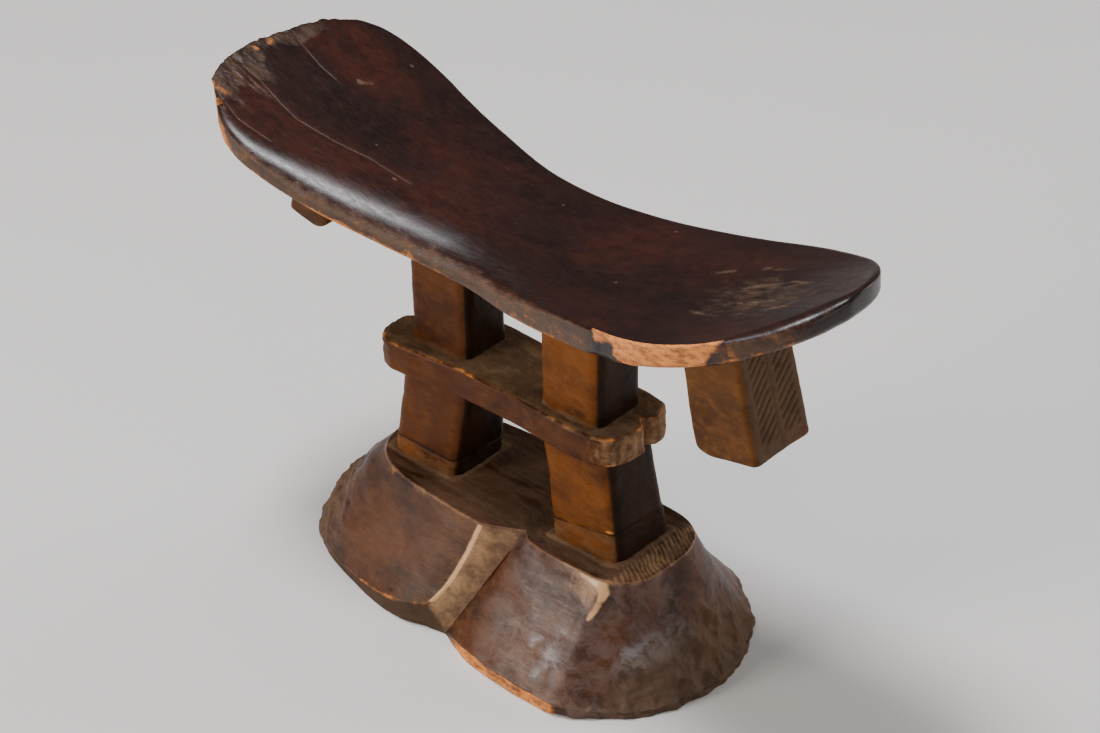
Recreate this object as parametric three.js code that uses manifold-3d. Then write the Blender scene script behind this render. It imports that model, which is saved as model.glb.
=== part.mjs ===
// A carved wooden headrest: a curved neck rest (the saddle) on four short posts in two tiers, with a slab
// between the tiers, a lug under each end of the saddle, and a base of two lobes.
// Millimetres, +Z up. X runs along the saddle, -Y is the front, and Z is 0 on the ground.
// The origin is below the middle of the outer box. Left is -X and right is +X.
// The carver cut all of it from one block, so the members meet face to face and nothing but wood joins
// them. Each member is a closed solid of its own, kept SEAM away from its neighbours.

import * as THREE from 'three';
import { mergeVertices } from 'three/addons/utils/BufferGeometryUtils.js';
import Module from 'manifold-3d';

const wasm = await Module();
wasm.setup();

// Gap between two members that meet.
const SEAM = 0.3;

// The stand (posts, slab and base) is carved a little to the left of the saddle's middle.
const STAND_X = -5;

// Saddle: its top is two arcs that meet level at the dip, and its underside is the same with less curve.
// It lies SADDLE_Y behind the middle of the stand.
const SADDLE_LEFT = -92.8;
const SADDLE_RIGHT = 92.8;
const SADDLE_Y = 1.3;
const DIP_X = 7;
const DIP_Z = 107;
const LEFT_RISE = 18.2;
const RIGHT_RISE = 22;
const SADDLE_THICK_MIDDLE = 8.5;
const SADDLE_THICK_END = 6.5;
const SADDLE_STEPS = 28;

// Half the saddle's width at points along its length, from the left end to the right end.
const SADDLE_WIDTHS = [
  [-92.3, 12], [-88.5, 23], [-81, 29.3], [-73, 31], [-60, 30.2], [-44, 27], [-29, 23.9], [-15, 21.5],
  [-3, 20.9], [18, 23], [37, 25.6], [57, 27], [69, 25.2], [80, 21], [88, 14.5], [91.8, 7],
];

// Posts. Each tier has a left and a right post. inner and outer are how far a post's two sides are from the
// stand's middle.
const POST_ROUND = 1.6;
const UPPER_POST = { inner: 12.2, outer: 31.1, halfDepth: 7.8 };
const LOWER_POST_TOP = { inner: 11.9, outer: 34.3, halfDepth: 8.1 };
const LOWER_POST_FOOT = { inner: 16.4, outer: 38.6, halfDepth: 9.4 };

// Slab between the two tiers of posts. Each end is carved as two small lobes with a notch between them.
const SLAB_BOTTOM = 58.2;
const SLAB_TOP = 66.9;
const SLAB_OUTLINE = [
  [-34.5, -13.5], [-12, -11.8], [12, -11.6], [33.2, -11.8], [37.2, -7], [37.6, -1], [35.6, 2.4], [37.7, 5.2],
  [37, 9], [32.8, 11.8], [12, 11.6], [-12, 11.6], [-34.6, 11.8], [-38.8, 7], [-39, 2.5], [-37.2, 0],
  [-39.4, -3.5], [-38.6, -9.5],
];

// Base: a platform that carries the lower posts, and two lobes that spread from it to the ground.
const PLATFORM_BOTTOM = 24.5;
const PLATFORM_TOP = 30.3;
const LOBE_STEPS = 6;
const LOBE_BULGE = 0.4;

// Front half of the base's outline on the ground and at the platform's top. The two have the same points in
// the same order, from the left end by way of the valley between the lobes to the right end.
const GROUND_OUTLINE = [
  [-66, 0], [-63.5, -11], [-57, -19.5], [-48, -24.5], [-36, -28.5], [-22, -31], [-9, -31], [0, -31],
  [7, -32.8], [17, -34.5], [29, -34.5], [41, -32], [51, -26], [58.5, -15], [61.5, 0],
];
const PLATFORM_OUTLINE = [
  [-44, 0], [-43, -6], [-39.8, -11], [-34.6, -14.2], [-27, -16.2], [-16, -17.5], [-4, -18], [5, -16.5],
  [13, -16.6], [20, -16.8], [28, -16.8], [35, -16.2], [41, -13.8], [45.4, -8.6], [46.8, 0],
];

// Valley between the lobes: two flat cuts that meet in a crease. The crease runs from a notch in the
// platform's edge down to the ground, and slants to the left on its way. x is counted from the stand's
// middle.
const CREASE_TOP = { x: 11.2, y: -13.3 };
const CREASE_FOOT = { x: -2.7, y: -28.7 };
const LEFT_CUT = { x: -10.4, y: -5.2 };
const RIGHT_CUT = { x: 3.1, y: -2.7 };
const LEFT_CUT_REACH = 4;
const RIGHT_CUT_REACH = 12;

// Lugs under the saddle's ends, splayed outwards towards their lower ends. x is the inner lower corner.
const LUG_ROUND = 1.4;
const LUG_SPLAY = 12.5;
const LUGS = {
  end_lug_left: { side: -1, x: 64, foot: 84.5, width: 13.5, depth: 16 },
  end_lug_right: { side: 1, x: 56.8, foot: 75.6, width: 17.6, depth: 19.4 },
};
const LUG_LENGTH = 60;

// Points on each rounded corner, and on each whole outline.
const CORNER_POINTS = 4;
const OUTLINE_POINTS = 108;

const WOOD = {
  saddle: { color: 0x3a1c12, roughness: 0.42, metalness: 0 },
  post: { color: 0x6e3d1c, roughness: 0.55, metalness: 0 },
  slab: { color: 0x5a3220, roughness: 0.55, metalness: 0 },
  base: { color: 0x4c2c1c, roughness: 0.6, metalness: 0 },
  lug: { color: 0x7a4a22, roughness: 0.55, metalness: 0 },
};

// ---- solids and booleans -------------------------------------------------------------------------------

function toSolid(geometry) {
  const bare = geometry.clone();
  bare.deleteAttribute('normal');
  bare.deleteAttribute('uv');
  const merged = mergeVertices(bare, 1e-4);
  const vertProperties = new Float32Array(merged.attributes.position.array);
  const triVerts = new Uint32Array(merged.index.array);
  return new wasm.Manifold(new wasm.Mesh({ numProp: 3, vertProperties, triVerts }));
}

function toGeometry(solid) {
  const mesh = solid.getMesh();
  const geometry = new THREE.BufferGeometry();
  geometry.setAttribute('position', new THREE.BufferAttribute(mesh.vertProperties, 3));
  geometry.setIndex(new THREE.BufferAttribute(mesh.triVerts, 1));
  geometry.computeVertexNormals();
  return geometry;
}

// ---- outlines ------------------------------------------------------------------------------------------

// A smooth closed outline through a list of [x, y] points.
function smoothOutline(points, count = OUTLINE_POINTS) {
  const curve = new THREE.CatmullRomCurve3(points.map(([x, y]) => new THREE.Vector3(x, y, 0)), true);
  const outline = [];
  for (let i = 0; i < count; i += 1) {
    const p = curve.getPoint(i / count);
    outline.push(new THREE.Vector2(p.x, p.y));
  }
  return outline;
}

// Adds the back half of an outline, which mirrors the front half between its two end points.
function withBackHalf(frontHalf) {
  const back = frontHalf.slice(1, -1).reverse();
  return [...frontHalf, ...back.map(([x, y]) => [x, -y])];
}

// A rectangle with rounded corners, as outline points.
function roundedRectangle(x0, x1, halfDepth, round) {
  const corners = [
    [x1 - round, halfDepth - round, 0],
    [x0 + round, halfDepth - round, 90],
    [x0 + round, round - halfDepth, 180],
    [x1 - round, round - halfDepth, 270],
  ];
  const outline = [];
  for (const [cx, cy, start] of corners) {
    for (let i = 0; i <= CORNER_POINTS; i += 1) {
      const angle = THREE.MathUtils.degToRad(start + (90 * i) / CORNER_POINTS);
      outline.push(new THREE.Vector2(cx + round * Math.cos(angle), cy + round * Math.sin(angle)));
    }
  }
  return outline;
}

// ---- lofts ---------------------------------------------------------------------------------------------

// An upright solid from one outline at z0 to another with as many points at z1. ease(t) says how far the
// side has moved towards the upper outline at height t, from 0 at the bottom to 1 at the top.
function loft(lower, upper, z0, z1, steps = 1, ease = (t) => t) {
  const height = z1 - z0;
  const options = { depth: height, steps, bevelEnabled: false };
  const geometry = new THREE.ExtrudeGeometry(new THREE.Shape(lower), options);
  const key = (x, y) => `${x.toFixed(3)} ${y.toFixed(3)}`;
  const place = new Map(lower.map((p, i) => [key(p.x, p.y), i]));
  const position = geometry.attributes.position;
  for (let i = 0; i < position.count; i += 1) {
    const k = place.get(key(position.getX(i), position.getY(i)));
    const z = position.getZ(i);
    const moved = lower[k].clone().lerp(upper[k], ease(z / height));
    position.setXYZ(i, moved.x, moved.y, z0 + z);
  }
  geometry.computeVertexNormals();
  return geometry;
}

// ---- saddle --------------------------------------------------------------------------------------------

// Height of an arc at distance d from its level point, when it has risen by rise at distance reach.
function arcRise(d, reach, rise) {
  const radius = (reach * reach + rise * rise) / (2 * rise);
  return radius - Math.sqrt(radius * radius - d * d);
}

function saddleTop(x) {
  if (x < DIP_X) {
    return DIP_Z + arcRise(DIP_X - x, DIP_X - SADDLE_LEFT, LEFT_RISE);
  }
  return DIP_Z + arcRise(x - DIP_X, SADDLE_RIGHT - DIP_X, RIGHT_RISE);
}

function saddleUnderside(x) {
  const reach = x < DIP_X ? DIP_X - SADDLE_LEFT : SADDLE_RIGHT - DIP_X;
  const outwards = Math.abs(x - DIP_X) / reach;
  return saddleTop(x) - THREE.MathUtils.lerp(SADDLE_THICK_MIDDLE, SADDLE_THICK_END, outwards);
}

// Points along a height function of x, from the saddle's left end to its right end and margin past each.
function alongSaddle(height, margin) {
  const points = [];
  for (let i = 0; i <= SADDLE_STEPS; i += 1) {
    const x = THREE.MathUtils.lerp(SADDLE_LEFT - margin, SADDLE_RIGHT + margin, i / SADDLE_STEPS);
    points.push(new THREE.Vector2(x, height(x)));
  }
  return points;
}

// Extrudes an X-Z outline across the whole depth.
function extrudeAcross(points, halfDepth) {
  const shape = new THREE.Shape(points);
  const geometry = new THREE.ExtrudeGeometry(shape, { depth: 2 * halfDepth, bevelEnabled: false });
  geometry.rotateX(Math.PI / 2);
  geometry.translate(0, halfDepth, 0);
  return geometry;
}

function saddleGeometry() {
  const frontHalf = [[SADDLE_LEFT, 0], ...SADDLE_WIDTHS.map(([x, half]) => [x, -half]), [SADDLE_RIGHT, 0]];
  const plan = smoothOutline(withBackHalf(frontHalf)).map((p) => new THREE.Vector2(p.x, p.y + SADDLE_Y));
  const block = loft(plan, plan, DIP_Z - 20, DIP_Z + 40);
  const profile = [...alongSaddle(saddleUnderside, 5), ...alongSaddle(saddleTop, 5).reverse()];
  const curve = extrudeAcross(profile, 60);
  return toGeometry(toSolid(block).intersect(toSolid(curve)));
}

// Everything above the saddle's underside, less the seam: what the posts and lugs are cut back from.
function aboveSeam() {
  const under = alongSaddle((x) => saddleUnderside(x) - SEAM, 5);
  const top = DIP_Z + 100;
  const last = under[under.length - 1];
  const profile = [...under, new THREE.Vector2(last.x, top), new THREE.Vector2(under[0].x, top)];
  return toSolid(extrudeAcross(profile, 60));
}

// ---- posts and slab ------------------------------------------------------------------------------------

function postOutline({ inner, outer, halfDepth }, side) {
  const x0 = side < 0 ? STAND_X - outer : STAND_X + inner;
  const x1 = side < 0 ? STAND_X - inner : STAND_X + outer;
  return roundedRectangle(x0, x1, halfDepth, POST_ROUND);
}

function upperPostGeometry(side) {
  const outline = postOutline(UPPER_POST, side);
  const post = loft(outline, outline, SLAB_TOP + SEAM, DIP_Z + 20);
  return toGeometry(toSolid(post).subtract(aboveSeam()));
}

function lowerPostGeometry(side) {
  const foot = postOutline(LOWER_POST_FOOT, side);
  const top = postOutline(LOWER_POST_TOP, side);
  return loft(foot, top, PLATFORM_TOP + SEAM, SLAB_BOTTOM - SEAM);
}

function slabGeometry() {
  const outline = smoothOutline(SLAB_OUTLINE.map(([x, y]) => [x + STAND_X, y]));
  return loft(outline, outline, SLAB_BOTTOM, SLAB_TOP);
}

// ---- base ----------------------------------------------------------------------------------------------

function baseOutline(frontHalf) {
  return smoothOutline(withBackHalf(frontHalf.map(([x, y]) => [x + STAND_X, y])));
}

// How far the base's side has drawn in at height z: slowly at the ground, where the rim stands almost
// upright, and faster towards the platform.
function drawIn(z) {
  const t = z / PLATFORM_TOP;
  return LOBE_BULGE * t * t + (1 - LOBE_BULGE) * t;
}

// A band of the base from height z0 to z1, as one solid without the valley.
function baseBand(z0, z1, steps) {
  const ground = baseOutline(GROUND_OUTLINE);
  const platform = baseOutline(PLATFORM_OUTLINE);
  const at = (z) => ground.map((p, i) => p.clone().lerp(platform[i], drawIn(z)));
  const span = drawIn(z1) - drawIn(z0);
  const ease = (t) => (drawIn(z0 + t * (z1 - z0)) - drawIn(z0)) / span;
  return toSolid(loft(at(z0), at(z1), z0, z1, steps, ease));
}

// The wedge of wood that the carver took out between the lobes, at the front or, mirrored, at the back.
function valleyWedge(mirror) {
  const notch = (crease) => {
    const left = [crease.x + LEFT_CUT_REACH * LEFT_CUT.x, crease.y + LEFT_CUT_REACH * LEFT_CUT.y];
    const right = [crease.x + RIGHT_CUT_REACH * RIGHT_CUT.x, crease.y + RIGHT_CUT_REACH * RIGHT_CUT.y];
    return counterClockwise([[crease.x, crease.y], left, right], mirror);
  };
  return toSolid(loft(notch(CREASE_FOOT), notch(CREASE_TOP), 0, PLATFORM_TOP));
}

// Turns [x, y] pairs counted from the stand's middle into an outline that runs counterclockwise, and mirrors
// it from the front to the back where mirror is true.
function counterClockwise(pairs, mirror) {
  const outline = pairs.map(([x, y]) => new THREE.Vector2(x + STAND_X, mirror ? -y : y));
  return THREE.ShapeUtils.isClockWise(outline) ? outline.reverse() : outline;
}

function withoutValleys(solid) {
  return toGeometry(solid.subtract(valleyWedge(false)).subtract(valleyWedge(true)));
}

function platformGeometry() {
  return withoutValleys(baseBand(PLATFORM_BOTTOM, PLATFORM_TOP, 2));
}

// Everything on one side of the parting between the lobes, which follows the two creases in plan.
function besideParting(side) {
  const run = { x: CREASE_FOOT.x - CREASE_TOP.x, y: CREASE_FOOT.y - CREASE_TOP.y };
  const inner = CREASE_TOP.x + (side * SEAM) / 2;
  const outer = inner + 2 * run.x;
  const y = CREASE_TOP.y + 2 * run.y;
  const far = side * 100;
  const parting = [[outer, y], [inner, CREASE_TOP.y], [inner, -CREASE_TOP.y], [outer, -y]];
  const outline = counterClockwise([...parting, [far, -y], [far, y]], false);
  return toSolid(loft(outline, outline, -10, PLATFORM_TOP + 10));
}

// One lobe: the part of the base below the platform on one side of the parting.
function lobeGeometry(side) {
  const band = baseBand(0, PLATFORM_BOTTOM - SEAM, LOBE_STEPS);
  return withoutValleys(band.intersect(besideParting(side)));
}

// ---- lugs ----------------------------------------------------------------------------------------------

function lugGeometry({ side, x, foot, width, depth }) {
  const outline = roundedRectangle(0, width, depth / 2, LUG_ROUND);
  const lug = loft(outline, outline, 0, LUG_LENGTH);
  lug.rotateY(THREE.MathUtils.degToRad(-LUG_SPLAY));
  lug.translate(x, 0, foot);
  if (side < 0) {
    lug.rotateZ(Math.PI);
  }
  return toGeometry(toSolid(lug).subtract(aboveSeam()));
}

// ---- assembly ------------------------------------------------------------------------------------------

const headrest = new THREE.Group();

function addMember(name, geometry, wood) {
  const member = new THREE.Mesh(geometry, new THREE.MeshStandardMaterial(wood));
  member.name = name;
  headrest.add(member);
}

addMember('saddle', saddleGeometry(), WOOD.saddle);
addMember('middle_slab', slabGeometry(), WOOD.slab);
addMember('base_platform', platformGeometry(), WOOD.base);

for (const [word, side] of [['left', -1], ['right', 1]]) {
  addMember(`upper_post_${word}`, upperPostGeometry(side), WOOD.post);
  addMember(`lower_post_${word}`, lowerPostGeometry(side), WOOD.post);
  addMember(`base_lobe_${word}`, lobeGeometry(side), WOOD.base);
}

for (const [name, lug] of Object.entries(LUGS)) {
  addMember(name, lugGeometry(lug), WOOD.lug);
}

export default headrest;
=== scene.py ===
"""The looks of a hand-carved wooden headrest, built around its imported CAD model.

The real headrest is one block of wood, so each visual piece runs a little way into its neighbours and the
seams between the CAD solids don't show. Shapes are worked out in millimetres in the CAD's frame and become
metres when a piece is made. X runs along the saddle, -Y is the front and Z is up.
"""

from functools import reduce
from math import cos, pi, radians, sin
from types import SimpleNamespace

import bpy
import numpy as np
from mathutils import Matrix, Vector


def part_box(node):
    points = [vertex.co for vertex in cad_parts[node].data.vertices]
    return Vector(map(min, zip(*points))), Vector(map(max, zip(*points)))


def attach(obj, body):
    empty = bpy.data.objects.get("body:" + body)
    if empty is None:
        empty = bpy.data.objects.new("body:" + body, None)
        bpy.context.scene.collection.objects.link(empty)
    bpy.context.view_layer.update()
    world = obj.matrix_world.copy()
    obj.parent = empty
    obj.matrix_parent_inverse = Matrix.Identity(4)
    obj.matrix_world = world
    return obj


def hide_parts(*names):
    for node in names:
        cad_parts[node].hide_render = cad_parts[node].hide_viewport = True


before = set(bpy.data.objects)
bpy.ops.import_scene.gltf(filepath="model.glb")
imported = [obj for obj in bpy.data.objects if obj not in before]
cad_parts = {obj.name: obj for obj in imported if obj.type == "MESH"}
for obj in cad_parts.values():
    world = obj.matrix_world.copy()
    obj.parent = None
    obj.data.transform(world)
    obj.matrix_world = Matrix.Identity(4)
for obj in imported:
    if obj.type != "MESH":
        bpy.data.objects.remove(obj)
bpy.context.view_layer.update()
MM = 0.001


# ---- places, from the frame ----


def box_mm(node):
    """Lowest and highest corner of a CAD node, in millimetres."""
    low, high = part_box(node)
    return np.array(low) / MM, np.array(high) / MM


SADDLE_LOW, SADDLE_HIGH = box_mm("saddle")
SLAB_LOW, SLAB_HIGH = box_mm("middle_slab")
PLATFORM_LOW, PLATFORM_HIGH = box_mm("base_platform")
STAND_X = (box_mm("upper_post_left")[0][0] + box_mm("upper_post_right")[1][0]) / 2
SLAB_BOTTOM = SLAB_LOW[2]
SLAB_TOP = SLAB_HIGH[2]
PLATFORM_TOP = PLATFORM_HIGH[2]
PLATFORM_BOTTOM = PLATFORM_LOW[2]


# ---- camera, lights and floor ----

# The camera looks from the right of the front and from above, through a long lens.
CAMERA_AZIMUTH = radians(43.11)
CAMERA_ELEVATION = radians(34.39)
CAMERA_ROLL = radians(-1.69)
CAMERA_DISTANCE = 0.7333
CAMERA_LENS_MM = 98.18
CAMERA_TARGET = Vector((-0.0056, 0.0095, 0.0617))


def camera_axes():
    """The camera's right, up and backward directions."""
    a, e, r = CAMERA_AZIMUTH, CAMERA_ELEVATION, CAMERA_ROLL
    back = Vector((sin(a) * cos(e), -cos(a) * cos(e), sin(e)))
    level = Vector((cos(a), sin(a), 0))
    upright = back.cross(level)
    right = cos(r) * level + sin(r) * upright
    return right, back.cross(right), back


def add_camera():
    right, up, back = camera_axes()
    data = bpy.data.cameras.new("camera")
    data.lens = CAMERA_LENS_MM
    data.sensor_width = 36
    camera = bpy.data.objects.new("camera", data)
    turn = Matrix((right, up, back)).transposed().to_4x4()
    camera.matrix_world = Matrix.Translation(CAMERA_TARGET + back * CAMERA_DISTANCE) @ turn
    bpy.context.scene.collection.objects.link(camera)
    bpy.context.scene.camera = camera


def add_area_light(name, place, aim, size, watts, colour):
    data = bpy.data.lights.new(name, "AREA")
    data.shape = "RECTANGLE"
    data.size, data.size_y = size
    data.energy = watts
    data.color = colour
    lamp = bpy.data.objects.new(name, data)
    lamp.location = place
    lamp.rotation_euler = (Vector(aim) - Vector(place)).to_track_quat("-Z", "Y").to_euler()
    bpy.context.scene.collection.objects.link(lamp)


def add_lights():
    add_area_light("key", (-0.48, -0.90, 0.40), (0, 0, 0.06), (0.40, 0.40), 8, (1, 0.95, 0.88))
    add_area_light("overhead", (-0.20, -0.06, 1.06), (0, 0, 0.09), (0.28, 0.28), 11, (0.97, 0.96, 1))
    add_area_light("back", (0.50, 0.85, 0.40), (0, 0, 0.07), (0.6, 0.5), 5, (1, 0.98, 0.96))
    add_area_light("side", (0.90, -0.20, 0.40), (0, 0, 0.07), (0.4, 0.4), 1.4, (1, 0.98, 0.96))
    world = bpy.data.worlds.new("studio")
    world.use_nodes = True
    backdrop = world.node_tree.nodes["Background"]
    backdrop.inputs["Color"].default_value = (0.84, 0.82, 0.79, 1)
    backdrop.inputs["Strength"].default_value = 0.15
    bpy.context.scene.world = world


def add_floor():
    bpy.ops.mesh.primitive_plane_add(size=6, location=(0, 0, -0.0002))
    floor = bpy.context.object
    floor.name = "floor"
    paper = bpy.data.materials.new("floor_paper")
    paper.use_nodes = True
    shader = paper.node_tree.nodes["Principled BSDF"]
    shader.inputs["Base Color"].default_value = (0.74, 0.73, 0.71, 1)
    shader.inputs["Roughness"].default_value = 0.9
    floor.data.materials.append(paper)


add_camera()
add_lights()
add_floor()


# ---- noise ----


def lattice(cell, seed):
    """A fixed random value from 0 to 1 for every whole-number point."""
    i, j, k = np.moveaxis(cell, -1, 0)
    h = (i * 73856093) ^ (j * 19349663) ^ (k * 83492791) ^ (seed * 265443577)
    h = ((h ^ (h >> 13)) * 1274126177) & 0x7FFFFFFF
    h = ((h ^ (h >> 15)) * 747796405) & 0x7FFFFFFF
    return ((h ^ (h >> 12)) & 0xFFFFF) / 0xFFFFF


def noise(p, size, seed):
    """Smooth noise from -1 to 1 at the points p. size is the width of a lump along X, Y and Z."""
    q = p / np.asarray(size, float)
    cell = np.floor(q).astype(np.int64)
    f = q - cell
    f = f * f * (3 - 2 * f)
    total = 0
    for corner in np.ndindex(2, 2, 2):
        weight = np.where(corner, f, 1 - f).prod(-1)
        total = total + weight * lattice(cell + np.array(corner), seed)
    return 2 * total - 1


def layered(p, size, seed, octaves=3):
    """Noise with finer and weaker layers added."""
    size = np.asarray(size, float)
    return sum(noise(p, size / 2**k, seed + k) / 2**k for k in range(octaves))


def scoops(p, size, seed):
    """The surface that overlapping scooped cuts leave: 0 in a cut's middle and about 1 at the ridges."""
    q = p / np.asarray(size, float)
    cell = np.floor(q).astype(np.int64)
    best = np.full(q.shape[:-1], 9.0)
    for offset in np.ndindex(3, 3, 3):
        near = cell + np.array(offset) - 1
        centre = [near[..., i] + lattice(near, seed + i) for i in range(3)]
        best = np.minimum(best, ((np.stack(centre, -1) - q) ** 2).sum(-1))
    return best


def highest(*values):
    """The largest of some arrays or numbers, point by point."""
    return reduce(np.maximum, values)


def step(x, low, high):
    """0 below low, 1 above high and smooth between, and the other way round if low is above high."""
    t = np.clip((x - low) / (high - low), 0, 1)
    return t * t * (3 - 2 * t)


# ---- outlines ----


def catmull(points, closed, per_span=24):
    """A smooth line through [x, y] points."""
    pts = np.array(points, float)
    if closed:
        pts = np.vstack([pts[-1:], pts, pts[:2]])
    else:
        pts = np.vstack([2 * pts[0] - pts[1], pts, 2 * pts[-1] - pts[-2]])
    t = np.arange(per_span)[:, None] / per_span
    spans = []
    for a, b, c, d in zip(pts, pts[1:], pts[2:], pts[3:]):
        bend = 2 * a - 5 * b + 4 * c - d
        twist = 3 * b - 3 * c + d - a
        spans.append(0.5 * (2 * b + (c - a) * t + bend * t**2 + twist * t**3))
    line = np.vstack(spans)
    return line if closed else np.vstack([line, pts[-2:-1]])


def resample(line, count, closed):
    """The same line as count points at even distances in plan. Any further columns are carried along."""
    if closed:
        line = np.vstack([line, line[:1]])
    run = np.r_[0, np.cumsum(np.linalg.norm(np.diff(line[:, :2], axis=0), axis=1))]
    at = np.linspace(0, run[-1], count, endpoint=not closed)
    return np.stack([np.interp(at, run, line[:, i]) for i in range(line.shape[1])], 1)


def outward(outline):
    """Unit normals of a counterclockwise closed outline, in plan."""
    along = np.roll(outline, -1, 0) - np.roll(outline, 1, 0)
    normal = np.stack([along[:, 1], -along[:, 0]], 1)
    return normal / np.linalg.norm(normal, axis=1, keepdims=True)


def rounded_rectangle(x0, x1, y0, y1, radius, per_side=34, per_corner=12):
    """Points round a rectangle with rounded corners, counterclockwise and always as many."""
    left, right, low, high = x0 + radius, x1 - radius, y0 + radius, y1 - radius
    centres = [(right, high), (left, high), (left, low), (right, low)]
    arcs = []
    for n, (x, y) in enumerate(centres):
        a = np.linspace(n, n + 1, per_corner) * pi / 2
        arcs.append(np.stack([x + radius * np.cos(a), y + radius * np.sin(a)], 1))
    t = np.arange(1, per_side)[:, None] / per_side
    parts = []
    for arc, following in zip(arcs, arcs[1:] + arcs[:1]):
        parts += [arc, (1 - t) * arc[-1] + t * following[0]]
    return np.vstack(parts)


def to_line(plan, line):
    """Distance in plan from each point to a line of [x, y] points, negative on the line's right."""
    line = np.array(line, float)
    best = np.full(plan.shape[:-1], 1e9)
    for a, b in zip(line, line[1:]):
        along = (b - a) / np.linalg.norm(b - a)
        t = np.clip((plan - a) @ along, 0, np.linalg.norm(b - a))
        away = plan - a - t[..., None] * along
        side = np.sign(along[0] * away[..., 1] - along[1] * away[..., 0])
        distance = np.linalg.norm(away, axis=-1)
        best = np.where(distance < np.abs(best), side * distance, best)
    return best


def nearest(plan, lines):
    """Signed distance in plan to the nearest of some lines."""
    best = np.full(plan.shape[:-1], 1e9)
    for line in lines:
        distance = to_line(plan, line)
        best = np.where(np.abs(distance) < np.abs(best), distance, best)
    return best


# ---- surfaces ----
# A surface is an array of rings, each with as many points: shape (rings, points, 3), in millimetres.


def surface_normals(p):
    """Outward normals of a surface whose rings run counterclockwise and go from the bottom to the top."""
    along = np.roll(p, -1, 1) - np.roll(p, 1, 1)
    up = np.gradient(p, axis=0)
    n = np.cross(along, up)
    length = np.linalg.norm(n, axis=2, keepdims=True)
    return n / np.where(length > 1e-9, length, 1)


def ring_faces(rings, count):
    """The faces of a closed mesh of rings. Its last two points are the poles under and over the rings."""
    start = np.arange(rings - 1)[:, None] * count
    here = np.arange(count)
    after = (here + 1) % count
    corners = [start + here, start + after, start + count + after, start + count + here]
    quads = np.stack(corners, 2).reshape(-1, 4)
    last = (rings - 1) * count
    low = np.stack([after, here, np.full(count, rings * count)], 1)
    high = np.stack([last + here, last + after, np.full(count, rings * count + 1)], 1)
    return quads.tolist() + low.tolist() + high.tolist()


def keep_crisp(mesh, count, sharp):
    """Keeps the shading from running over the edges along the rings that sharp names."""
    ends = np.zeros(len(mesh.edges) * 2, np.int32)
    mesh.edges.foreach_get("vertices", ends)
    ring = ends.reshape(-1, 2) // count
    crisp = (ring[:, 0] == ring[:, 1]) & np.isin(ring[:, 0], sharp)
    mesh.attributes.new("sharp_edge", "BOOLEAN", "EDGE").data.foreach_set("value", crisp)


def make_piece(name, p, masks, material, node, sharp=()):
    """Makes a closed mesh from rings, with a pole point at each end, and puts it in the frame. sharp names
    rings whose edge stays crisp in the shading."""
    rings, count, _ = p.shape
    points = np.vstack([p.reshape(-1, 3), p[0].mean(0), p[-1].mean(0)]) * MM
    mesh = bpy.data.meshes.new(name)
    mesh.from_pydata(points, [], ring_faces(rings, count))
    mesh.polygons.foreach_set("use_smooth", np.ones(len(mesh.polygons), bool))
    if sharp:
        keep_crisp(mesh, count, sharp)
    for mask, values in masks.items():
        flat = np.broadcast_to(values, (rings, count)).reshape(-1)
        with_poles = np.clip(np.r_[flat, flat[0], flat[-1]], 0, 1).astype(np.float32)
        mesh.attributes.new(mask, "FLOAT", "POINT").data.foreach_set("value", with_poles)
    mesh.materials.append(material)
    piece = bpy.data.objects.new(name, mesh)
    bpy.context.scene.collection.objects.link(piece)
    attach(piece, "root")
    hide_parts(node)


def cap(edge, centre, count, inwards):
    """Rings between an edge ring and its centre. They run inwards, or outwards where they come first."""
    s = np.linspace(1, 0.02, count + 1)[1:]
    rings = [centre + k * (edge - centre) for k in s]
    return rings if inwards else rings[::-1]


def rolled_edge(outline, height, roll, angles, turn):
    """Rings over a rounded edge, one for each angle from 0 where the roll starts to a quarter turn at the
    outline. roll is how far in it starts and how far it turns, and turn is 1 for up or -1 for down."""
    wide, high = roll
    normal = outward(outline)
    rings = []
    for a in angles:
        plan = outline - normal * np.reshape(wide * (1 - sin(a)), (-1, 1))
        rings.append(np.c_[plan, height(plan) + turn * high * (1 - cos(a))])
    return rings


def closing_rings(edge, centre, height, count, pull):
    """Rings from an edge in to the centre. They close in more slowly along X if pull is under 1."""
    rings = []
    for k in np.linspace(1, 0.01, count + 1)[1:]:
        plan = centre + [k**pull, k] * (edge[:, :2] - centre)
        rings.append(np.c_[plan, height(plan)])
    return rings


def plate(outline, centre, top, bottom, roll_top, roll_bottom, inner, arcs, pull=1):
    """A plate over an outline. top and bottom give its height at points in plan, and the rolls round its
    edges. inner and arcs are how many rings its faces and its rolls have, under and over. Also returns where
    each ring is: -1 under the plate, 0 at the outline, 1 on top."""
    rising = np.linspace(0, pi / 2, arcs[0])
    falling = np.linspace(pi / 2, 0, arcs[1])
    lower = rolled_edge(outline, bottom, roll_bottom, rising, 1)
    upper = rolled_edge(outline, top, roll_top, falling, -1)
    under = closing_rings(lower[0], centre, bottom, inner[0], pull)[::-1]
    over = closing_rings(upper[-1], centre, top, inner[1], pull)
    place = [-1] * inner[0] + [-cos(a) for a in rising] + [cos(a) for a in falling] + [1] * inner[1]
    return np.array(under + lower + upper + over), np.array(place)[:, None]


# ---- material ----


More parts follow.
